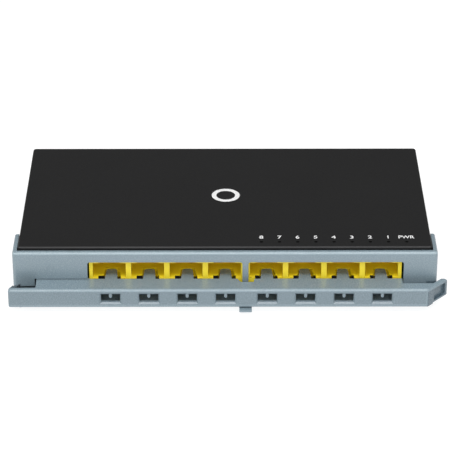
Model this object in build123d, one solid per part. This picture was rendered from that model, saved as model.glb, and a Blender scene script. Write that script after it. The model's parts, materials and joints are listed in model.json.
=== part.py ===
from build123d import *
import os

# Desktop network switch with eight ports and a swinging bar that locks the plugs in place.
# Millimetres. +X is right as seen from the port side, +Y is to the back and +Z is up. The ports face -Y.
# Everything below is laid out from the housing's middle plane, X = 0; save() then moves it by shift_x
# and shift_y, which puts the origin in the middle of the whole object, on the surface it stands on.

# Overall outline
shift_x = -1.2
shift_y = 0.45
gate_front = -45.4
frame_front = -37.5
cover_front = -35.3
cover_back = 46.2
frame_back = -22.3
cover_half = 75.2
frame_half = 77.15

# Heights
foot_bottom = 0.0
flange_bottom = 0.9
tray_bottom = 2.3
gate_bottom = 2.75
board_bottom = 4.6
board_top = 6.2
gate_top = 9.95
window_top = 17.0
jack_top = 17.6
frame_top = 20.9
cover_top = 22.1

# Walls
cover_wall = 1.5
tray_wall = 1.2
frame_wall = 1.9
frame_round = 0.85
cheek_wall = 1.6
gate_wall = 1.8
gate_end_wall = 1.3
gate_skin = 1.0
gate_round = 1.05
gap = 0.3

# Ports: two moulded rows of four, with the wider step between the rows
ports_in_row = 4
port_pitch = 13.97
row_gap = 15.24
jack_row_x = 7.4
jack_front = -36.2
jack_back = -19.6
jack_end_wall = 1.29
port_half = 6.0
port_crown_half = 3.92
port_ledge = 9.9
port_shoulder = 15.95
port_crown = 16.7
port_depth = 10.9
latch_half = 4.1
latch_floor = 6.6
latch_step = 1.7
latch_depth = 7.0
ledge_skin = 1.7
tongue_room = 8.65
contacts_per_port = 8
contact_pitch = 1.016

# Window in the front frame, and the slot that the gate's top skin tucks into
window_left = -50.0
window_right = 64.9
rail_top = 5.9
slot_top = 10.25
post_width = 2.15
foot_right = -69.3
foot_drop = 7.2

# Gate: the bar in front of the ports
gate_left = -78.5
gate_right = 73.6
gate_row_x = 7.7
gate_pitch = 13.88
gate_row_gap = 15.07
gate_back = frame_front - 0.35
bevel_start = 2.1
bevel_x = 2.0
bevel_y = 3.4
wing_run = 7.3
wing_reach = 8.1
wing_skin = 2.3
wing_lift = 0.7
pocket_depth = 1.05
post_notch_start = 5.9
foot_notch_left = 1.65
window_half = 3.48
window_low = 4.8
window_high = 8.1
tooth_half = 0.535
tooth_drop = 1.47
tongue_base = 2.4
tongue_tip = 1.85
tongue_reach = 7.85
tongue_round = 1.1
plate_back = frame_front + 0.45
wing_notch = 4.75

# Gate hinge, at the gate's left end
pivot_x = -74.3
pivot_y = gate_front + 3.4
pin_radius = 0.8
pin_play = 0.05
boss_radius = 1.6
boss_top = 6.6
ear_bottom = 1.8
ear_top = 2.45

# Sprung catch under the middle of the gate
catch_x = 7.4
catch_half = 2.28
catch_front = -47.1
catch_bottom = 1.6
catch_thick = 0.7
catch_axis_y = -36.55
catch_axis_z = 2.15
trunnion_radius = 0.5
trunnion_length = 0.8

# Indicators
lamp_count = 9
lamp_first_x = 13.25
lamp_pitch = 6.61
lamp_hole_y = cover_front + 3.9
lamp_hole_radius = 0.65
lamp_y = -16.4

# Board, its fixings and the case fixings
board_half = 68.9
board_front = -33.6
board_back = 44.6
board_screw_x = 64.5
board_screw_y = (-9.0, 40.5)
case_screw_x = 71.0
case_screw_y = (-19.0, 43.0)
frame_screw_x = (-55.0, 0.0, 55.0)
frame_screw_y = -27.5
screw_radius = 1.2
head_radius = 2.1
head_height = 1.0
boss_outer = 2.6

# Underside
foot_radius = 5.0
foot_x = 63.0
foot_y = (-16.0, 32.0)
keyhole_x = 50.0
keyhole_y = 6.0
keyhole_radius = 3.5
keyhole_slot_half = 1.8
keyhole_slot = 7.0

# Power inlet at the back
inlet_x = -54.0
inlet_z = board_top + 6.5
inlet_bore = 3.15
inlet_pin = 1.05
inlet_front = 33.6


def block(x0, x1, y0, y1, z0, z1):
    middle = Pos((x0 + x1) / 2, (y0 + y1) / 2, (z0 + z1) / 2)
    return middle * Box(x1 - x0, y1 - y0, z1 - z0)


def drum(x, y, z0, z1, radius):
    return Pos(x, y, (z0 + z1) / 2) * Cylinder(radius, z1 - z0)


def slab(points, z0, z1):
    """A flat plate with the given outline, from height z0 to z1."""
    outline = make_face(Polyline(*points, close=True))
    return Pos(0, 0, z0) * extrude(outline, z1 - z0)


def rounded(solid, axis, radius):
    return fillet(solid.edges().filter_by(axis), radius)


def save(name, shape):
    export_step(Pos(shift_x, shift_y, 0) * shape, f"parts/{name}.step")


def row_ports(side):
    """Port centres of one row: side -1 is the left row and +1 the right one."""
    return [jack_row_x + side * (row_gap / 2 + step * port_pitch) for step in range(ports_in_row)]


def gate_places():
    """Centres of the gate's windows and tongues, which are set a little closer than the ports."""
    places = []
    for side in (-1, 1):
        for step in range(ports_in_row):
            places.append(gate_row_x + side * (gate_row_gap / 2 + step * gate_pitch))
    return places


def lamp_places():
    return [lamp_first_x + step * lamp_pitch for step in range(lamp_count)]


# Housing

def side_vents(side):
    """Upright cooling slots through one side wall of the cover."""
    wall_x = side * (cover_half - cover_wall / 2)
    slots = []
    for step in range(9):
        slot = Pos(wall_x, -10 + step * 5.0, 13.5) * Box(cover_wall * 2, 2.0, 8.0)
        slots.append(rounded(slot, Axis.X, 0.95))
    return slots


def top_cover():
    floor = tray_bottom + 2.9
    outer = block(-cover_half, cover_half, cover_front, cover_back, floor, cover_top)
    outer = rounded(outer, Axis.Z, 1.2)
    outer = fillet(outer.edges().group_by(Axis.Z)[-1], 0.6)
    inner = block(-cover_half + cover_wall, cover_half - cover_wall, cover_front + cover_wall,
                  cover_back - cover_wall, floor - 1, cover_top - cover_wall)
    cover = outer - inner
    for x in (-case_screw_x, case_screw_x):
        for y in case_screw_y:
            cover += drum(x, y, tray_bottom + tray_wall, cover_top - cover_wall, boss_outer)
            cover -= drum(x, y, tray_bottom + tray_wall - 1, tray_bottom + tray_wall + 8, screw_radius)
    mouth = block(window_left - 0.4, window_right + 0.4, cover_front - 1, cover_front + cover_wall + 0.5,
                  floor - 1, jack_top + 0.4)
    cover -= mouth
    for x in lamp_places():
        cover -= drum(x, lamp_hole_y, cover_top - cover_wall - 1, cover_top + 1, lamp_hole_radius)
    for side in (-1, 1):
        cover -= side_vents(side)
    inlet = block(inlet_x - 5.2, inlet_x + 5.2, cover_back - cover_wall - 1, cover_back + 1,
                  board_top - 2, board_top + 12.2)
    return cover - inlet


def keyhole(x):
    entry = drum(x, keyhole_y, tray_bottom - 1, tray_bottom + tray_wall + 1, keyhole_radius)
    slot = block(x - keyhole_slot_half, x + keyhole_slot_half, keyhole_y, keyhole_y + keyhole_slot,
                 tray_bottom - 1, tray_bottom + tray_wall + 1)
    end = drum(x, keyhole_y + keyhole_slot, tray_bottom - 1, tray_bottom + tray_wall + 1,
               keyhole_slot_half)
    return entry + slot + end


def base_tray():
    top = tray_bottom + tray_wall
    tray = block(-cover_half, cover_half, cover_front, cover_back, tray_bottom, tray_bottom + 2.6)
    tray = rounded(tray, Axis.Z, 1.2)
    tray = chamfer(tray.edges().group_by(Axis.Z)[0], 0.5)
    hollow = block(-cover_half + 1.5, cover_half - 1.5, cover_front + 1.5, cover_back - 1.5, top, top + 5)
    tray -= hollow
    for x in (-board_screw_x, board_screw_x):
        for y in board_screw_y:
            tray += drum(x, y, top - 0.2, board_bottom, boss_outer)
            tray -= drum(x, y, tray_bottom + 0.3, board_bottom + 1, screw_radius)
    for x in (-case_screw_x, case_screw_x):
        for y in case_screw_y:
            tray -= drum(x, y, tray_bottom - 1, top + 1, screw_radius + 0.2)
            tray -= drum(x, y, tray_bottom - 1, tray_bottom + 0.6, head_radius + 0.2)
    for x in frame_screw_x:
        tray += drum(x, frame_screw_y, top - 0.2, board_bottom - 0.2, boss_outer)
        tray -= drum(x, frame_screw_y, tray_bottom - 1, board_bottom - 0.4, screw_radius)
    for x in (-foot_x, foot_x):
        for y in foot_y:
            tray -= drum(x, y, tray_bottom - 1, tray_bottom + 0.3, foot_radius + 0.15)
    for x in (-keyhole_x, keyhole_x):
        tray -= keyhole(x)
    return tray


def frame_openings():
    """The two port windows, the slot beside them and the gap below the hanging foot, as one cutter."""
    y0 = frame_front - 1
    y1 = frame_front + frame_wall
    post = post_width / 2
    left = block(window_left, jack_row_x - post, y0, y1 + 0.5, rail_top, window_top)
    left = fillet(left.edges().filter_by(Axis.Y).group_by(Axis.Z)[-1], 0.9)
    right = block(jack_row_x + post, window_right, y0, y1 + 0.5, rail_top, window_top)
    right = fillet(right.edges().filter_by(Axis.Y).group_by(Axis.Z)[-1], 0.9)
    slot = block(foot_right, window_left + 2, y0, y1 + 0.5, rail_top, slot_top)
    under_foot = block(-frame_half - 1, foot_right + 0.5, y0, y1, rail_top, foot_drop)
    rebate = block(window_left, window_right, jack_front - gap, y1 + 0.5, rail_top, jack_top + gap)
    return left + right + slot + under_foot + rebate


def hinge_ear():
    reach = block(pivot_x - boss_radius, pivot_x + boss_radius, pivot_y, frame_front + 0.5,
                  ear_bottom, ear_top)
    return reach + drum(pivot_x, pivot_y, ear_bottom, ear_top, boss_radius)


def front_frame():
    back = frame_front + frame_wall
    outer = block(-frame_half, frame_half, frame_front, frame_back, flange_bottom, frame_top)
    outer = fillet(outer.edges().filter_by(Axis.Z).group_by(Axis.Y)[0], 1.2)
    outer = fillet(outer.edges().filter_by(Axis.Z).group_by(Axis.Y)[-1], 0.9)
    outer = fillet(outer.edges().group_by(Axis.Z)[-1], frame_round)
    inner = block(-frame_half + cheek_wall, frame_half - cheek_wall, back, frame_back + 1,
                  tray_bottom, frame_top + 1)
    frame = outer - inner
    frame -= frame_openings()
    frame += hinge_ear()
    frame -= drum(pivot_x, pivot_y, ear_bottom - 1, tray_bottom + 1, pin_radius)
    for x in frame_screw_x:
        frame -= drum(x, frame_screw_y, flange_bottom - 1, tray_bottom + 1, screw_radius + 0.2)
        frame -= drum(x, frame_screw_y, flange_bottom - 1, flange_bottom + head_height, head_radius + 0.2)
    return frame - catch_pocket()


def catch_pocket():
    """Room for the catch's root in the frame's lower rail, with sockets for its trunnions."""
    half = catch_half + gap
    pocket = block(catch_x - half, catch_x + half, frame_front - 1, catch_axis_y + 1.6,
                   flange_bottom - 1, catch_axis_z + 1.2)
    sockets = Pos(catch_x, catch_axis_y, catch_axis_z) * Rot(0, 90, 0) * Cylinder(
        trunnion_radius + pin_play, 2 * (half + trunnion_length))
    return pocket + sockets


def gate_catch():
    tab = block(catch_x - catch_half, catch_x + catch_half, catch_front, catch_axis_y,
                catch_bottom, catch_bottom + catch_thick)
    tab = fillet(tab.edges().filter_by(Axis.Z).group_by(Axis.Y)[0], 0.35)
    root = Pos(catch_x, catch_axis_y, catch_axis_z) * Rot(0, 90, 0) * Cylinder(0.75, 2 * catch_half)
    pins = Pos(catch_x, catch_axis_y, catch_axis_z) * Rot(0, 90, 0) * Cylinder(
        trunnion_radius, 2 * (catch_half + gap + trunnion_length - 0.2))
    return tab + root + pins


# Gate

def wing_inner(y):
    """X of the wing's inner face at depth y."""
    return gate_right + wing_run * (y - gate_front) / wing_reach - wing_skin


def gate_body():
    """The gate as a solid bar with its leaning grip at the right end and a bevel at the hinged end."""
    tip_x = gate_right + wing_run
    tip_y = gate_front + wing_reach
    outline = [
        (gate_left, gate_front),
        (gate_right, gate_front),
        (tip_x, tip_y),
        (tip_x - wing_skin, tip_y),
        (wing_inner(gate_back), gate_back),
        (pivot_x + 1.0, gate_back),
        (gate_left + bevel_x, gate_front + bevel_start + bevel_y),
        (gate_left, gate_front + bevel_start),
    ]
    body = slab(outline, gate_bottom, gate_top)
    left = body.edges().filter_by(Axis.Z).filter_by_position(Axis.X, gate_left - 0.1, gate_left + 0.1)
    body = fillet(left, 0.8)
    knee = body.edges().filter_by(Axis.Z).filter_by_position(Axis.X, gate_right - 0.1, gate_right + 0.1)
    body = fillet(knee, 0.9)
    front = [edge for edge in body.edges().group_by(Axis.Z)[-1] if faces_front(edge)]
    body = fillet(front, gate_round)
    lower = [edge for edge in body.edges().group_by(Axis.Z)[0] if faces_front(edge)]
    return fillet(lower, 0.4)


def faces_front(edge):
    """True for an outline edge on the bar's front face, its left corner or the wing's outer face."""
    middle = edge.center()
    if middle.X < gate_right:
        return middle.Y < gate_front + 0.5
    return middle.X > wing_inner(middle.Y) + wing_skin - 0.6 and middle.Y < gate_front + wing_reach - 0.1


def behind_wall(reach, x0):
    """Plan of the room behind the gate's walls, from the line y = gate_front + reach to beyond its back."""
    y0 = gate_front + reach
    y1 = gate_back + 6
    lean = 2.2
    return [
        (x0, y0),
        (wing_inner(y0), y0),
        (wing_inner(y1), y1),
        (x0 + bevel_x * lean, gate_front + bevel_start + bevel_y * lean),
        (x0, gate_front + bevel_start),
    ]


def gate_tongue(x):
    """One tongue that reaches into a port, wider at its root and rounded at its tip."""
    tip = frame_front + tongue_reach
    outline = [
        (x - tongue_base, gate_back - 1),
        (x + tongue_base, gate_back - 1),
        (x + tongue_tip, tip),
        (x - tongue_tip, tip),
    ]
    tongue = slab(outline, gate_top - gate_skin, gate_top)
    return fillet(tongue.edges().filter_by(Axis.Z).group_by(Axis.Y)[-1], tongue_round)


def gate_window(x):
    """A window in the gate's front wall, with its chamfered rim and a tooth at the top."""
    z = (window_low + window_high) / 2
    height = window_high - window_low
    hole = Pos(x, gate_front + gate_wall / 2, z) * Box(2 * window_half, gate_wall + 1, height)
    hole = fillet(hole.edges().filter_by(Axis.Y).group_by(Axis.Z)[0], 0.4)
    rim_face = Plane.XZ.offset(-gate_front + 0.1) * Rectangle(2 * window_half + 1.1, height + 1.35)
    rim = extrude(Pos(x, 0, z - 0.15) * rim_face, -0.65, taper=45)
    tooth = block(x - tooth_half, x + tooth_half, gate_front + 0.25, gate_front + gate_wall + 1,
                  window_high - tooth_drop + tooth_half, window_high + 1)
    tip = Pos(x, gate_front + 0.25 + (gate_wall + 0.75) / 2, window_high - tooth_drop + tooth_half)
    tooth += tip * Rot(90, 0, 0) * Cylinder(tooth_half, gate_wall + 0.75)
    return hole + rim, tooth


def wing_cuts():
    """The step under the grip and the shallow pocket in its outer face."""
    length = (wing_run ** 2 + wing_reach ** 2) ** 0.5
    along_x = wing_run / length
    along_y = wing_reach / length
    knee = Plane(origin=(gate_right, gate_front, gate_bottom), x_dir=(along_x, along_y, 0),
                 z_dir=(along_y, -along_x, 0))
    relief = Pos(2.7 + length / 2, wing_lift / 2 - 0.5, 0) * Box(length, wing_lift + 1, 8)
    height = gate_top - gate_bottom - wing_lift
    pocket_length = length - 4.3
    pocket = Pos(3.2 + pocket_length / 2, wing_lift + height / 2 - 0.25, 0) * Box(
        pocket_length, height - 1.8, 2 * pocket_depth)
    pocket = fillet(pocket.edges().filter_by(Axis.Z), 0.5)
    return knee * relief + knee * pocket


def gate_bar():
    top = gate_top - gate_skin
    bar = gate_body()
    left = gate_left + gate_end_wall
    bar -= slab(behind_wall(gate_wall, left), gate_bottom + gate_skin, top)
    bar += block(window_left + 0.4, window_right - 0.4, gate_back - 1, plate_back, top, gate_top)
    bar += block(foot_right + 0.7, window_left + 0.6, gate_back - 1, frame_front + 0.9, top, gate_top)
    foot_notch = slab([
        (gate_left + 0.9, gate_front + gate_wall),
        (foot_right + 0.7, gate_front + gate_wall),
        (foot_right + 0.7, gate_back + 1),
        (gate_left + foot_notch_left, gate_back + 1),
        (gate_left + foot_notch_left, gate_front + gate_wall + 1.6),
    ], top - 0.1, gate_top + 1)
    beside = slab(behind_wall(wing_notch, left), top - 0.1, gate_top + 1)
    beside -= block(gate_left, window_right - 0.4, gate_front, gate_back + 20, top - 1, gate_top + 2)
    bar -= foot_notch + beside
    half = post_width / 2
    post_notch = slab([
        (jack_row_x - half - 0.7, gate_front + post_notch_start),
        (jack_row_x + half + 2.0, gate_front + post_notch_start),
        (jack_row_x + half + 2.4, plate_back + 1),
        (jack_row_x - half - 2.4, plate_back + 1),
    ], top - 0.1, gate_top + 1)
    bar -= post_notch
    bar -= wing_cuts()
    for x in gate_places():
        bar += gate_tongue(x)
        hole, tooth = gate_window(x)
        bar -= hole - tooth
    bar += drum(pivot_x, pivot_y, gate_bottom, boss_top, boss_radius)
    bar += block(pivot_x - 0.6, pivot_x + 0.6, gate_front + 1, pivot_y, gate_bottom, boss_top)
    bar -= drum(pivot_x, pivot_y, gate_bottom - 1, top, pin_radius + pin_play)
    return bar


def hinge_pin():
    pin = drum(pivot_x, pivot_y, ear_bottom, boss_top + 1.0, pin_radius)
    return chamfer(pin.edges().group_by(Axis.Z)[-1], 0.2)


def pin_clip():
    low = boss_top + gap
    ring = drum(pivot_x, pivot_y, low, low + 0.4, boss_radius - 0.1) - drum(
        pivot_x, pivot_y, low - 1, low + 1, pin_radius)
    return ring


# Ports

def jack_row(side):
    ports = row_ports(side)
    low_x = min(ports) - port_half - jack_end_wall
    high_x = max(ports) + port_half + jack_end_wall
    body = block(low_x, high_x, jack_front, jack_back, board_top, jack_top)
    cavity_back = jack_front + port_depth
    for x in ports:
        body -= block(x - port_half, x + port_half, jack_front - 1, cavity_back, port_ledge, port_shoulder)
        body -= block(x - port_crown_half, x + port_crown_half, jack_front - 1, cavity_back,
                      port_ledge, port_crown)
        body -= block(x - latch_half, x + latch_half, jack_front - 1, jack_front + latch_step,
                      latch_floor, port_ledge + 1)
        body -= block(x - latch_half, x + latch_half, jack_front, jack_front + latch_depth,
                      latch_floor, port_ledge - ledge_skin)
    for x in gate_places():
        body -= tongue_slot(x)
    return body


def tongue_slot(x):
    """Room for a tongue in the port's floor, wider at its mouth where the tongue swings out."""
    mouth = jack_front + latch_step - 0.5
    end = frame_front + tongue_reach + 0.7
    outline = [
        (x - tongue_base - 0.3, mouth),
        (x + tongue_base + 1.0, mouth),
        (x + tongue_tip + 0.6, end),
        (x - tongue_tip - 0.5, end),
    ]
    return slab(outline, tongue_room, port_ledge + 0.1)


def contact_wire(x):
    """One contact: a flat run under the port's roof that bends down towards the back."""
    y = jack_front + 5.2
    roof = port_crown - 0.05
    low = roof - 0.35
    points = [(y, low), (y + 1.2, low), (y + 4.6, low - 3.3), (y + 4.9, low - 3.0), (y + 1.35, roof), (y, roof)]
    outline = make_face(Polyline(*points, close=True))
    return Pos(x - 0.23, 0, 0) * extrude(Plane.YZ * outline, 0.46)


def jack_contacts(side):
    wires = []
    for x in row_ports(side):
        first = x - contact_pitch * (contacts_per_port - 1) / 2
        for step in range(contacts_per_port):
            wires.append(contact_wire(first + step * contact_pitch))
    return Compound(wires)


# Electronics

def circuit_board():
    board = block(-board_half, board_half, board_front, board_back, board_bottom, board_top)
    for x in (-board_screw_x, board_screw_x):
        for y in board_screw_y:
            board -= drum(x, y, board_bottom - 1, board_top + 1, screw_radius + 0.3)
    return board


def chip(x, y, wide, deep, high):
    body = block(x - wide / 2, x + wide / 2, y - deep / 2, y + deep / 2, board_top, board_top + high)
    return chamfer(body.edges().group_by(Axis.Z)[-1], 0.15)


def leaded_chip(x, y, wide, deep, high):
    """A packaged circuit with rows of short legs along its two long sides."""
    body = chip(x, y, wide, deep, high)
    count = int(wide // 1.27)
    for step in range(count):
        leg_x = x - (count - 1) * 0.635 + step * 1.27
        body += block(leg_x - 0.2, leg_x + 0.2, y - deep / 2 - 1.2, y + deep / 2 + 1.2,
                      board_top, board_top + 0.4)
    return body


def switch_chip():
    body = chip(8.0, 14.0, 20.0, 20.0, 1.6)
    for step in range(24):
        offset = -9.2 + step * 0.8
        body += block(8.0 + offset - 0.15, 8.0 + offset + 0.15, 14.0 - 11.2, 14.0 + 11.2,
                      board_top, board_top + 0.3)
        body += block(8.0 - 11.2, 8.0 + 11.2, 14.0 + offset - 0.15, 14.0 + offset + 0.15,
                      board_top, board_top + 0.3)
    return body


def thermal_pad():
    return block(-1.0, 17.0, 5.0, 23.0, board_top + 1.6, board_top + 2.1)


def heat_sink():
    low = board_top + 2.1
    sink = block(-3.0, 19.0, 3.0, 25.0, low, low + 1.5)
    for step in range(8):
        x = -3.0 + step * 3.0
        sink += block(x, x + 1.0, 3.0, 25.0, low + 1.0, low + 8.5)
    return sink


def capacitor(x, y, radius, height):
    can = drum(x, y, board_top, board_top + height, radius)
    return fillet(can.edges().group_by(Axis.Z)[-1], 0.4)


def power_coil():
    coil = block(-39.0, -31.0, 24.0, 32.0, board_top, board_top + 4.0)
    coil = rounded(coil, Axis.Z, 1.5)
    return fillet(coil.edges().group_by(Axis.Z)[-1], 0.5)


def inlet_jack():
    body = block(inlet_x - 4.6, inlet_x + 4.6, inlet_front, cover_back - 0.3, board_top, board_top + 11.2)
    body = fillet(body.edges().filter_by(Axis.Y).group_by(Axis.Z)[-1], 1.2)
    bore = Pos(inlet_x, cover_back - 0.3 - 4.75 + 0.5, inlet_z) * Rot(90, 0, 0) * Cylinder(inlet_bore, 10.5)
    return body - bore


def inlet_contact():
    length = 8.6
    start = cover_back - 0.3 - 9.5
    pin = Pos(inlet_x, start + length / 2, inlet_z) * Rot(90, 0, 0) * Cylinder(inlet_pin, length)
    return fillet(pin.edges().group_by(Axis.Y)[-1], 0.4)


def lamp(x):
    return block(x - 0.6, x + 0.6, lamp_y - 1.0, lamp_y + 1.0, board_top, board_top + 0.8)


def light_guide():
    """Clear guides that carry each lamp's light over the ports to its hole in the cover."""
    low = board_top + 1.1
    high = cover_top - cover_wall - gap
    guides = block(lamp_first_x - 0.8, lamp_places()[-1] + 0.8, lamp_y - 0.8, lamp_y + 0.8, high - 3.6, high - 2.2)
    for x in lamp_places():
        guides += block(x - 0.6, x + 0.6, lamp_y - 0.8, lamp_y + 0.8, low, high)
        guides += block(x - 0.6, x + 0.6, lamp_hole_y - 0.6, lamp_y + 0.8, high - 1.4, high)
        guides += drum(x, lamp_hole_y, high - 0.2, cover_top - 1.1, lamp_hole_radius - 0.1)
    return guides


# Fixings and feet

def screw(x, y, head_low, head_up, tip):
    """A pan-head screw that points from its head towards the height tip."""
    if head_up:
        head = drum(x, y, head_low, head_low + head_height, head_radius)
        shank = drum(x, y, tip, head_low + 0.2, screw_radius)
        socket = drum(x, y, head_low + 0.5, head_low + head_height + 1, 0.8)
    else:
        head = drum(x, y, head_low, head_low + head_height, head_radius)
        shank = drum(x, y, head_low + 0.2, tip, screw_radius)
        socket = drum(x, y, head_low - 1, head_low + 0.5, 0.8)
    return head + shank - socket


def board_screws():
    places = [(x, y) for x in (-board_screw_x, board_screw_x) for y in board_screw_y]
    return Compound([screw(x, y, board_top, True, tray_bottom + 0.6) for x, y in places])


def case_screws():
    places = [(x, y) for x in (-case_screw_x, case_screw_x) for y in case_screw_y]
    head_low = tray_bottom + 0.6 - head_height
    return Compound([screw(x, y, head_low, False, 9.0) for x, y in places])


def frame_screws():
    screws = [screw(x, frame_screw_y, flange_bottom, False, board_bottom - 0.6) for x in frame_screw_x]
    return Compound(screws)


def foot(x, y):
    pad = drum(x, y, foot_bottom, tray_bottom + 0.3, foot_radius)
    return fillet(pad.edges().group_by(Axis.Z)[0], 0.6)


def build():
    os.makedirs("parts", exist_ok=True)
    save("top_cover", top_cover())
    save("base_tray", base_tray())
    save("front_frame", front_frame())
    save("gate_bar", gate_bar())
    save("hinge_pin", hinge_pin())
    save("pin_clip", pin_clip())
    save("gate_catch", gate_catch())
    for label, side in (("left", -1), ("right", 1)):
        save(f"{label}_jack_row", jack_row(side))
        save(f"{label}_jack_contacts", jack_contacts(side))
    save("circuit_board", circuit_board())
    save("switch_chip", switch_chip())
    save("thermal_pad", thermal_pad())
    save("heat_sink", heat_sink())
    save("memory_chip", leaded_chip(-14.0, 26.0, 5.4, 4.0, 1.6))
    save("power_chip", leaded_chip(-36.0, 14.0, 5.4, 4.0, 1.6))
    save("clock_crystal", rounded(chip(32.0, 18.0, 5.0, 3.2, 1.2), Axis.Z, 0.5))
    save("power_coil", power_coil())
    save("inlet_capacitor", capacitor(-42.0, 40.0, 3.15, 8.0))
    save("output_capacitor", capacitor(-26.0, 36.0, 4.0, 8.5))
    for step in range(4):
        x = -41.0 + step * 27.0
        save(f"magnetics_{step + 1}", leaded_chip(x, -7.0, 15.2, 7.2, 5.8))
    save("inlet_jack", inlet_jack())
    save("inlet_contact", inlet_contact())
    for step, x in enumerate(lamp_places()):
        save(f"lamp_{step + 1}", lamp(x))
    save("light_guide", light_guide())
    save("board_screws", board_screws())
    save("case_screws", case_screws())
    save("frame_screws", frame_screws())
    for row, y in zip(("front", "back"), foot_y):
        save(f"{row}_left_foot", foot(-foot_x, y))
        save(f"{row}_right_foot", foot(foot_x, y))


build()
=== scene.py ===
import json
import math

import bmesh
import bpy
from mathutils import Matrix, Vector


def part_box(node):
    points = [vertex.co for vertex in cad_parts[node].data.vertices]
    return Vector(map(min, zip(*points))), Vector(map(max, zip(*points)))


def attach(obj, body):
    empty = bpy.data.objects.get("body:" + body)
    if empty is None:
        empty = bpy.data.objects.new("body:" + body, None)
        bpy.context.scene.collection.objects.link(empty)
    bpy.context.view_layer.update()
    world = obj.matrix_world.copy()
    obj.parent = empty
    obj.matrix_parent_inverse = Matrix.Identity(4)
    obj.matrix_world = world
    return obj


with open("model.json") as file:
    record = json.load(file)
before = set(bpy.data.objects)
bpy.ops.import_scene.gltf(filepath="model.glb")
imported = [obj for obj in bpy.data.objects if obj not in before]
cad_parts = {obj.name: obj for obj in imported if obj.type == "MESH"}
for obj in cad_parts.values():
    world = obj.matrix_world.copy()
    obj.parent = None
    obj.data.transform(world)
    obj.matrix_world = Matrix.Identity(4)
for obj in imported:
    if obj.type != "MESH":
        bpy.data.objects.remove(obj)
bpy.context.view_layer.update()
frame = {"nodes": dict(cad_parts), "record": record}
mm = 0.001

lidLow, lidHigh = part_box("top_cover")
gateLow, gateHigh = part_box("gate_bar")
frameLow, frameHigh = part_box("front_frame")
lidMiddleX = (lidLow.x + lidHigh.x) / 2
print("frame loaded:", len(frame["nodes"]), "nodes")

# camera, aimed from the front and above at the lid's front edge
cameraSetup = {
    "lens": 181.4,
    "sensor": 36,
    "nearest": 0.01,
    "farthest": 20,
    "tilt": 28.0,
    "turn": -0.16,
    "offset": (-1.68 * mm, -724.858 * mm, 394.031 * mm),
}


def addCamera(setup):
    data = bpy.data.cameras.new("viewCamera")
    data.lens = setup["lens"]
    data.sensor_width = setup["sensor"]
    data.clip_start = setup["nearest"]
    data.clip_end = setup["farthest"]
    camera = bpy.data.objects.new("viewCamera", data)
    edge = Vector((lidMiddleX, lidLow.y, lidHigh.z))
    camera.location = edge + Vector(setup["offset"])
    camera.rotation_euler = (math.radians(90 - setup["tilt"]), 0, math.radians(setup["turn"]))
    bpy.context.scene.collection.objects.link(camera)
    bpy.context.scene.camera = camera


addCamera(cameraSetup)

# soft studio light: a big box overhead, one in front, a strip for the upper edges and two weak sides
lightSetup = {
    "overhead": {"place": (0.0, -0.32, 1.1), "size": (1.6, 0.8), "power": 4.6},
    "frontBox": {"place": (0.0, -1.3, 0.75), "size": (1.6, 0.7), "power": 7.0},
    "ridgeStrip": {"place": (0.0, -0.54, 1.0), "size": (1.8, 0.28), "power": 7.0},
    "leftBox": {"place": (-1.3, -0.1, 0.55), "size": (0.8, 0.8), "power": 2.2},
    "rightBox": {"place": (1.3, 0.3, 0.55), "size": (0.8, 0.8), "power": 0.6},
}
skySetup = {"colour": (1.0, 1.0, 1.0, 1.0), "strength": 0.3}


def addLights(setup):
    for name, box in setup.items():
        data = bpy.data.lights.new(name, "AREA")
        data.shape = "RECTANGLE"
        data.size, data.size_y = box["size"]
        data.energy = box["power"]
        lamp = bpy.data.objects.new(name, data)
        lamp.location = box["place"]
        lamp.rotation_euler = (-Vector(box["place"])).to_track_quat("-Z", "Y").to_euler()
        bpy.context.scene.collection.objects.link(lamp)


def addSky(setup):
    world = bpy.data.worlds.new("studioSky")
    world.use_nodes = True
    sky = world.node_tree.nodes["Background"]
    sky.inputs["Color"].default_value = setup["colour"]
    sky.inputs["Strength"].default_value = setup["strength"]
    bpy.context.scene.world = world


addLights(lightSetup)
addSky(skySetup)
bpy.context.scene.view_settings.view_transform = "Standard"
print("camera and light ready")


# shader helpers

def newGroup(name, inputs, outputs):
    group = bpy.data.node_groups.new(name, "ShaderNodeTree")
    for label, kind, value in inputs:
        socket = group.interface.new_socket(label, in_out="INPUT", socket_type=kind)
        if value is not None:
            socket.default_value = value
    for label, kind in outputs:
        group.interface.new_socket(label, in_out="OUTPUT", socket_type=kind)
    return group, group.nodes.new("NodeGroupInput"), group.nodes.new("NodeGroupOutput")


def addNoise(tree, noiseSetup):
    noise = tree.nodes.new("ShaderNodeTexNoise")
    noise.inputs["Detail"].default_value = noiseSetup["detail"]
    noise.inputs["Roughness"].default_value = noiseSetup["roughness"]
    return noise


# fine grain of a moulded or coated face, with broad clouds of tone
grainNoise = {"detail": 3.0, "roughness": 0.65}
cloudNoise = {"detail": 2.0, "roughness": 0.5}


def makeMouldGrain():
    group, source, sink = newGroup(
        "mouldGrain",
        [("Place", "NodeSocketVector", None), ("Grain Scale", "NodeSocketFloat", 2500.0),
         ("Cloud Scale", "NodeSocketFloat", 30.0)],
        [("Height", "NodeSocketFloat"), ("Cloud", "NodeSocketFloat")])
    fine = addNoise(group, grainNoise)
    broad = addNoise(group, cloudNoise)
    group.links.new(source.outputs["Place"], fine.inputs["Vector"])
    group.links.new(source.outputs["Place"], broad.inputs["Vector"])
    group.links.new(source.outputs["Grain Scale"], fine.inputs["Scale"])
    group.links.new(source.outputs["Cloud Scale"], broad.inputs["Scale"])
    group.links.new(fine.outputs["Fac"], sink.inputs["Height"])
    group.links.new(broad.outputs["Fac"], sink.inputs["Cloud"])
    return group


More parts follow.
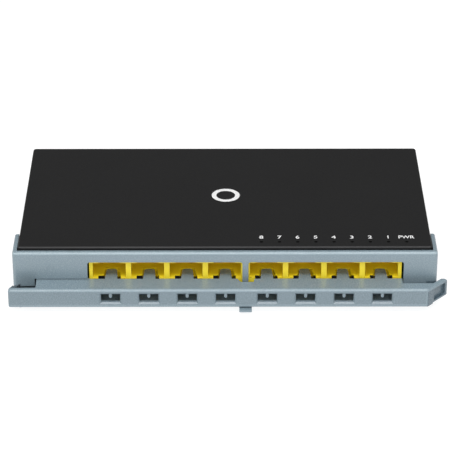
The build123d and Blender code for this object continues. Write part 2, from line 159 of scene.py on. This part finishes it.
# 1 inside a box, fading to 0 at its sides over the blur
def makeBoxMask():
    group, source, sink = newGroup(
        "boxMask",
        [("Place", "NodeSocketVector", None), ("Middle", "NodeSocketVector", (0, 0, 0)),
         ("Half", "NodeSocketVector", (1, 1, 1)), ("Blur", "NodeSocketFloat", 0.0002)],
        [("Mask", "NodeSocketFloat")])

    def step(kind, operation, first, second):
        node = group.nodes.new(kind)
        node.operation = operation
        group.links.new(first, node.inputs[0])
        if second is not None:
            group.links.new(second, node.inputs[1])
        return node

    shift = step("ShaderNodeVectorMath", "SUBTRACT", source.outputs["Place"], source.outputs["Middle"])
    spread = step("ShaderNodeVectorMath", "ABSOLUTE", shift.outputs[0], None)
    inside = step("ShaderNodeVectorMath", "SUBTRACT", source.outputs["Half"], spread.outputs[0])
    split = group.nodes.new("ShaderNodeSeparateXYZ")
    group.links.new(inside.outputs[0], split.inputs[0])
    least = step("ShaderNodeMath", "MINIMUM", split.outputs["X"], split.outputs["Y"])
    least = step("ShaderNodeMath", "MINIMUM", least.outputs[0], split.outputs["Z"])
    soft = step("ShaderNodeMath", "DIVIDE", least.outputs[0], source.outputs["Blur"])
    soft.use_clamp = True
    group.links.new(soft.outputs[0], sink.inputs["Mask"])
    return group


mouldGrain = makeMouldGrain()
boxMask = makeBoxMask()


# multiplies a colour by the zone's tint inside the zone's box, painting shade where the tint is below 1
# and a highlight where it is above 1
def paintLightZone(tree, place, colour, zone):
    mask = tree.nodes.new("ShaderNodeGroup")
    mask.node_tree = boxMask
    low, high = Vector(zone["low"]), Vector(zone["high"])
    mask.inputs["Middle"].default_value = (low + high) / 2
    mask.inputs["Half"].default_value = (high - low) / 2
    mask.inputs["Blur"].default_value = zone["blur"]
    tree.links.new(place.outputs["Object"], mask.inputs["Place"])
    mix = tree.nodes.new("ShaderNodeMix")
    mix.data_type = "RGBA"
    mix.blend_type = "MULTIPLY"
    mix.inputs["B"].default_value = (*zone["tint"], 1)
    tree.links.new(mask.outputs["Mask"], mix.inputs["Factor"])
    tree.links.new(colour, mix.inputs["A"])
    return mix.outputs["Result"]


# grain gives the bump and the roughness, clouds blend the dark and light tones
def makeMaterial(name, look):
    material = bpy.data.materials.new(name)
    material.use_nodes = True
    tree = material.node_tree
    shader = tree.nodes["Principled BSDF"]
    place = tree.nodes.new("ShaderNodeTexCoord")
    grain = tree.nodes.new("ShaderNodeGroup")
    grain.node_tree = mouldGrain
    grain.inputs["Grain Scale"].default_value = look["grainScale"]
    grain.inputs["Cloud Scale"].default_value = look["cloudScale"]
    tree.links.new(place.outputs["Object"], grain.inputs["Place"])
    tone = tree.nodes.new("ShaderNodeMix")
    tone.data_type = "RGBA"
    tone.inputs["A"].default_value = (*look["dark"], 1)
    tone.inputs["B"].default_value = (*look["light"], 1)
    tree.links.new(grain.outputs["Cloud"], tone.inputs["Factor"])
    colour = tone.outputs["Result"]
    # painted shade and painted highlights from the look's zones
    for zone in look.get("zones", ()):
        colour = paintLightZone(tree, place, colour, zone)
    tree.links.new(colour, shader.inputs["Base Color"])
    if "glow" in look:
        shader.inputs["Emission Color"].default_value = (1, 1, 1, 1)
        shader.inputs["Emission Strength"].default_value = look["glow"]
    polish = tree.nodes.new("ShaderNodeMapRange")
    polish.inputs["To Min"].default_value = look["roughness"] - look["roughSpread"]
    polish.inputs["To Max"].default_value = look["roughness"] + look["roughSpread"]
    tree.links.new(grain.outputs["Height"], polish.inputs["Value"])
    tree.links.new(polish.outputs["Result"], shader.inputs["Roughness"])
    bump = tree.nodes.new("ShaderNodeBump")
    bump.inputs["Strength"].default_value = look["grainStrength"]
    bump.inputs["Distance"].default_value = look["grainDepth"]
    tree.links.new(grain.outputs["Height"], bump.inputs["Height"])
    tree.links.new(bump.outputs["Normal"], shader.inputs["Normal"])
    shader.inputs["Metallic"].default_value = look.get("metal", 0.0)
    shader.inputs["Specular IOR Level"].default_value = look.get("specular", 0.5)
    shader.inputs["Transmission Weight"].default_value = look.get("clear", 0.0)
    return material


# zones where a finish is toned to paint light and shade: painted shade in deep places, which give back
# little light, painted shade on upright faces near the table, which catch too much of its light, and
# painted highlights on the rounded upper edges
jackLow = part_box("left_jack_row")[0]
beyond = 0.2  # well past the object's sides
windowsEnd = 0.064  # to the right of the gate's last window
wingStart = lidMiddleX + 73.0 * mm
latchLedge = 9.88 * mm  # height of the step inside a port
latchRoom = 9.3 * mm
portRoof = 17.6 * mm
# painted shade: near black at the front of each port's latch notch, very dark in the latch room behind
# it, and a deeper amber, with blue taken down, over the port's inside
portShadeZones = [
    {"low": (-beyond, jackLow.y + 0.08 * mm, 0.0), "high": (beyond, jackLow.y + 1.85 * mm, latchLedge),
     "blur": 0.08 * mm, "tint": (0.01, 0.008, 0.005)},
    {"low": (-beyond, jackLow.y + 0.08 * mm, 0.0), "high": (beyond, jackLow.y + 3.3 * mm, latchRoom),
     "blur": 0.08 * mm, "tint": (0.05, 0.04, 0.03)},
    {"low": (-beyond, jackLow.y + 0.6 * mm, 0.0), "high": (beyond, beyond, portRoof),
     "blur": 0.8 * mm, "tint": (1.0, 1.0, 0.42)},
]
insideGate = {"x": gateLow.x + 1.2 * mm, "front": gateLow.y + 1.2 * mm, "back": gateLow.y + 7.4 * mm,
              "top": gateHigh.z - 0.6 * mm}
# painted shade inside the gate's hollow, seen through its windows: a little darker low down and much
# darker in the upper part
gateHollowShadeZones = [
    {"low": (insideGate["x"], insideGate["front"], gateLow.z + 0.9 * mm),
     "high": (windowsEnd, insideGate["back"], insideGate["top"]),
     "blur": 0.6 * mm, "tint": (0.8, 0.8, 0.8)},
    {"low": (insideGate["x"], insideGate["front"], gateLow.z + 3.6 * mm),
     "high": (windowsEnd, insideGate["back"], insideGate["top"]),
     "blur": 0.8 * mm, "tint": (0.22, 0.19, 0.2)},
]
gateFaceFront = gateLow.y - 5.0 * mm  # clear of the catch tab in front of the gate
# painted shade on the gate's front face, darker on the wing at its right end; painted highlights along
# the gate's rounded top front edge and the frame's rounded top rim
faceShadeAndHighlightZones = [
    {"low": (-beyond, gateFaceFront, gateLow.z + 0.9 * mm),
     "high": (wingStart, gateLow.y + 1.0 * mm, gateHigh.z - 0.5 * mm),
     "blur": 0.4 * mm, "tint": (0.78, 0.8, 0.81)},
    {"low": (wingStart, gateFaceFront, gateLow.z - 1.0 * mm),
     "high": (beyond, gateHigh.y, gateHigh.z - 0.6 * mm),
     "blur": 0.5 * mm, "tint": (0.46, 0.51, 0.54)},
    {"low": (-beyond, gateFaceFront, gateHigh.z - 0.9 * mm),
     "high": (wingStart, gateLow.y + 1.1 * mm, gateHigh.z + 1.0 * mm),
     "blur": 0.3 * mm, "tint": (1.16, 1.15, 1.14)},
    {"low": (-beyond, frameLow.y - 1.0 * mm, frameHigh.z - 0.85 * mm),
     "high": (beyond, lidLow.y - 1.1 * mm, frameHigh.z + 1.0 * mm),
     "blur": 0.3 * mm, "tint": (1.42, 1.38, 1.34)},
]
# painted highlight along the lid's rounded front edge
lidEdgeHighlightZones = [
    {"low": (-beyond, lidLow.y - 1.0 * mm, lidHigh.z - 0.5 * mm),
     "high": (beyond, lidLow.y + 0.6 * mm, lidHigh.z + 1.0 * mm),
     "blur": 0.15 * mm, "tint": (4.2, 4.2, 4.2)},
]

looks = {
    "lidBlack": {"dark": (0.0085, 0.0085, 0.0087), "light": (0.0105, 0.0105, 0.0108), "roughness": 0.48,
                 "roughSpread": 0.12, "grainScale": 2600, "cloudScale": 40, "grainStrength": 0.5,
                 "grainDepth": 0.00004, "specular": 0.2, "zones": lidEdgeHighlightZones},
    "frameGrey": {"dark": (0.198, 0.262, 0.300), "light": (0.218, 0.285, 0.325), "roughness": 0.27,
                  "roughSpread": 0.08, "grainScale": 3000, "cloudScale": 45, "grainStrength": 0.3,
                  "grainDepth": 0.00003, "specular": 0.75, "zones": gateHollowShadeZones + faceShadeAndHighlightZones},
    "jackYellow": {"dark": (0.90, 0.70, 0.03), "light": (0.96, 0.77, 0.045), "roughness": 0.4,
                   "roughSpread": 0.06, "grainScale": 2200, "cloudScale": 90, "grainStrength": 0.2,
                   "grainDepth": 0.00003, "zones": portShadeZones},
    "contactGold": {"dark": (0.72, 0.48, 0.14), "light": (0.85, 0.62, 0.25), "roughness": 0.25,
                    "roughSpread": 0.08, "grainScale": 1800, "cloudScale": 300, "grainStrength": 0.2,
                    "grainDepth": 0.00001, "metal": 1.0},
    "partBlack": {"dark": (0.012, 0.012, 0.012), "light": (0.02, 0.02, 0.021), "roughness": 0.55,
                  "roughSpread": 0.1, "grainScale": 2400, "cloudScale": 200, "grainStrength": 0.4,
                  "grainDepth": 0.00003},
    "zincSteel": {"dark": (0.48, 0.47, 0.44), "light": (0.62, 0.61, 0.58), "roughness": 0.33,
                  "roughSpread": 0.1, "grainScale": 1500, "cloudScale": 400, "grainStrength": 0.3,
                  "grainDepth": 0.00001, "metal": 1.0},
    "boardGreen": {"dark": (0.008, 0.085, 0.035), "light": (0.015, 0.14, 0.06), "roughness": 0.35,
                   "roughSpread": 0.08, "grainScale": 900, "cloudScale": 350, "grainStrength": 0.3,
                   "grainDepth": 0.00003},
    "padBlue": {"dark": (0.25, 0.3, 0.42), "light": (0.32, 0.37, 0.5), "roughness": 0.8,
                "roughSpread": 0.08, "grainScale": 1200, "cloudScale": 150, "grainStrength": 0.4,
                "grainDepth": 0.00005},
    "sinkAluminium": {"dark": (0.62, 0.62, 0.63), "light": (0.74, 0.74, 0.75), "roughness": 0.38,
                      "roughSpread": 0.1, "grainScale": 1800, "cloudScale": 120, "grainStrength": 0.3,
                      "grainDepth": 0.00002, "metal": 1.0},
    "guideClear": {"dark": (0.85, 0.87, 0.88), "light": (0.93, 0.94, 0.94), "roughness": 0.15,
                   "roughSpread": 0.05, "grainScale": 900, "cloudScale": 90, "grainStrength": 0.1,
                   "grainDepth": 0.00001, "clear": 0.85},
    "lampResin": {"dark": (0.7, 0.74, 0.62), "light": (0.84, 0.87, 0.74), "roughness": 0.25,
                  "roughSpread": 0.05, "grainScale": 1500, "cloudScale": 300, "grainStrength": 0.1,
                  "grainDepth": 0.00001},
    "footRubber": {"dark": (0.015, 0.015, 0.016), "light": (0.028, 0.028, 0.03), "roughness": 0.85,
                   "roughSpread": 0.08, "grainScale": 1600, "cloudScale": 120, "grainStrength": 0.5,
                   "grainDepth": 0.00005},
    "printWhite": {"dark": (0.8, 0.8, 0.8), "light": (0.88, 0.88, 0.88), "roughness": 0.5,
                   "roughSpread": 0.08, "grainScale": 3000, "cloudScale": 400, "grainStrength": 0.2,
                   "grainDepth": 0.00001},
    "floorPale": {"dark": (0.24, 0.24, 0.24), "light": (0.27, 0.27, 0.27), "roughness": 0.7,
                  "roughSpread": 0.05, "grainScale": 300, "cloudScale": 3, "grainStrength": 0.1,
                  "grainDepth": 0.00002, "glow": 0.86},
}
materials = {name: makeMaterial(name, look) for name, look in looks.items()}
slotMaterials = {  # the record's material slots
    "black_case": "lidBlack",
    "grey_frame": "frameGrey",
    "yellow_jack": "jackYellow",
    "gold_contact": "contactGold",
    "black_part": "partBlack",
    "steel": "zincSteel",
    "board": "boardGreen",
    "pad": "padBlue",
    "sink": "sinkAluminium",
    "clear": "guideClear",
    "lamp": "lampResin",
    "rubber": "footRubber",
}


def dressNodes():
    for part in frame["record"]["subparts"]:
        node = frame["nodes"][part["node"]]
        finish = materials[slotMaterials[part["material_slot"]]]
        if not node.data.materials:
            node.data.materials.append(finish)
        for index in range(len(node.data.materials)):
            node.data.materials[index] = finish


dressNodes()
print("materials ready:", len(materials))


def placeMesh(name, mesh, finish, body):
    mesh.materials.clear()
    mesh.materials.append(materials[finish])
    piece = bpy.data.objects.new(name, mesh)
    bpy.context.scene.collection.objects.link(piece)
    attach(piece, body)
    return piece


# printed lettering on the lid, one shallow mesh for each label, centred behind its lamp hole
sunkShare = 0.25  # how far a mark's middle lies under its face, in its own thicknesses
labelPrint = {
    "height": 2.15 * mm,
    "capShare": 0.7,  # a capital's height in the font's size
    "thickness": 0.02 * mm,
    "behindHole": 2.55 * mm,
    "wordSqueeze": 0.89,
    "weight": 0.06 * mm,
    "labels": ("8", "7", "6", "5", "4", "3", "2", "1", "PWR"),
}
holeRow = {"firstX": 13.25 * mm, "pitch": 6.61 * mm, "fromEdge": 3.9 * mm}


def textMesh(text, setup):
    curve = bpy.data.curves.new("label", "FONT")
    curve.body = text
    curve.size = setup["height"] / setup["capShare"]
    curve.align_x = "CENTER"
    curve.extrude = setup["thickness"] / 2
    curve.offset = setup["weight"]
    holder = bpy.data.objects.new("label", curve)
    bpy.context.scene.collection.objects.link(holder)
    bpy.context.view_layer.update()
    graph = bpy.context.evaluated_depsgraph_get()
    mesh = bpy.data.meshes.new_from_object(holder.evaluated_get(graph))
    bpy.data.objects.remove(holder)
    bpy.data.curves.remove(curve)
    return mesh


def addLabels(setup):
    y = lidLow.y + holeRow["fromEdge"] + setup["behindHole"]
    z = lidHigh.z - setup["thickness"] * sunkShare
    for index, text in enumerate(setup["labels"]):
        x = lidMiddleX + holeRow["firstX"] + index * holeRow["pitch"]
        mesh = textMesh(text, setup)
        if len(text) > 1:
            mesh.transform(Matrix.Scale(setup["wordSqueeze"], 4, (1, 0, 0)))
        mesh.transform(Matrix.Translation((x, y, z)))
        placeMesh("label_" + text, mesh, "printWhite", "housing")


addLabels(labelPrint)
print("labels printed")


# plain rings: one printed on the lid, at x and y from its front middle, and one raised a little from
# the front frame, at x and z
lidRing = {"outer": 5.3 * mm, "inner": 3.55 * mm, "thickness": 0.02 * mm, "segments": 96,
           "x": 0.35 * mm, "y": 41.0 * mm}
frameRing = {"outer": 2.2 * mm, "inner": 1.6 * mm, "thickness": 0.12 * mm, "segments": 64,
             "x": -63.5 * mm, "z": 13.8 * mm, "beforeLid": 2.2 * mm}


def ringMesh(setup):
    mesh = bpy.data.meshes.new("ring")
    bm = bmesh.new()
    inner, outer, half = setup["inner"], setup["outer"], setup["thickness"] / 2
    corners = [(inner, -half), (outer, -half), (outer, half), (inner, half)]
    verts = [bm.verts.new((radius, 0, height)) for radius, height in corners]
    edges = [bm.edges.new((vert, verts[(index + 1) % 4])) for index, vert in enumerate(verts)]
    bmesh.ops.spin(bm, geom=verts + edges, axis=(0, 0, 1), cent=(0, 0, 0), steps=setup["segments"],
                   angle=math.radians(360), use_merge=True)
    bmesh.ops.recalc_face_normals(bm, faces=bm.faces)
    bm.to_mesh(mesh)
    bm.free()
    return mesh


def addRings():
    printed = ringMesh(lidRing)
    z = lidHigh.z - lidRing["thickness"] * sunkShare
    printed.transform(Matrix.Translation((lidMiddleX + lidRing["x"], lidLow.y + lidRing["y"], z)))
    placeMesh("lidRing", printed, "printWhite", "housing")
    raised = ringMesh(frameRing)
    raised.transform(Matrix.Rotation(math.radians(90), 4, "X"))
    y = lidLow.y - frameRing["beforeLid"] - frameRing["thickness"] * sunkShare
    raised.transform(Matrix.Translation((lidMiddleX + frameRing["x"], y, frameRing["z"])))
    placeMesh("frameRing", raised, "frameGrey", "housing")


addRings()
print("marks added")

# pale floor with a little light of its own, so that it stays white without lighting the gate from below
floorSetup = {"half": 3.0}


def addFloor(setup):
    mesh = bpy.data.meshes.new("studioFloor")
    bm = bmesh.new()
    bmesh.ops.create_grid(bm, x_segments=1, y_segments=1, size=setup["half"])
    bm.to_mesh(mesh)
    bm.free()
    mesh.materials.append(materials["floorPale"])
    floor = bpy.data.objects.new("studioFloor", mesh)
    bpy.context.scene.collection.objects.link(floor)


addFloor(floorSetup)
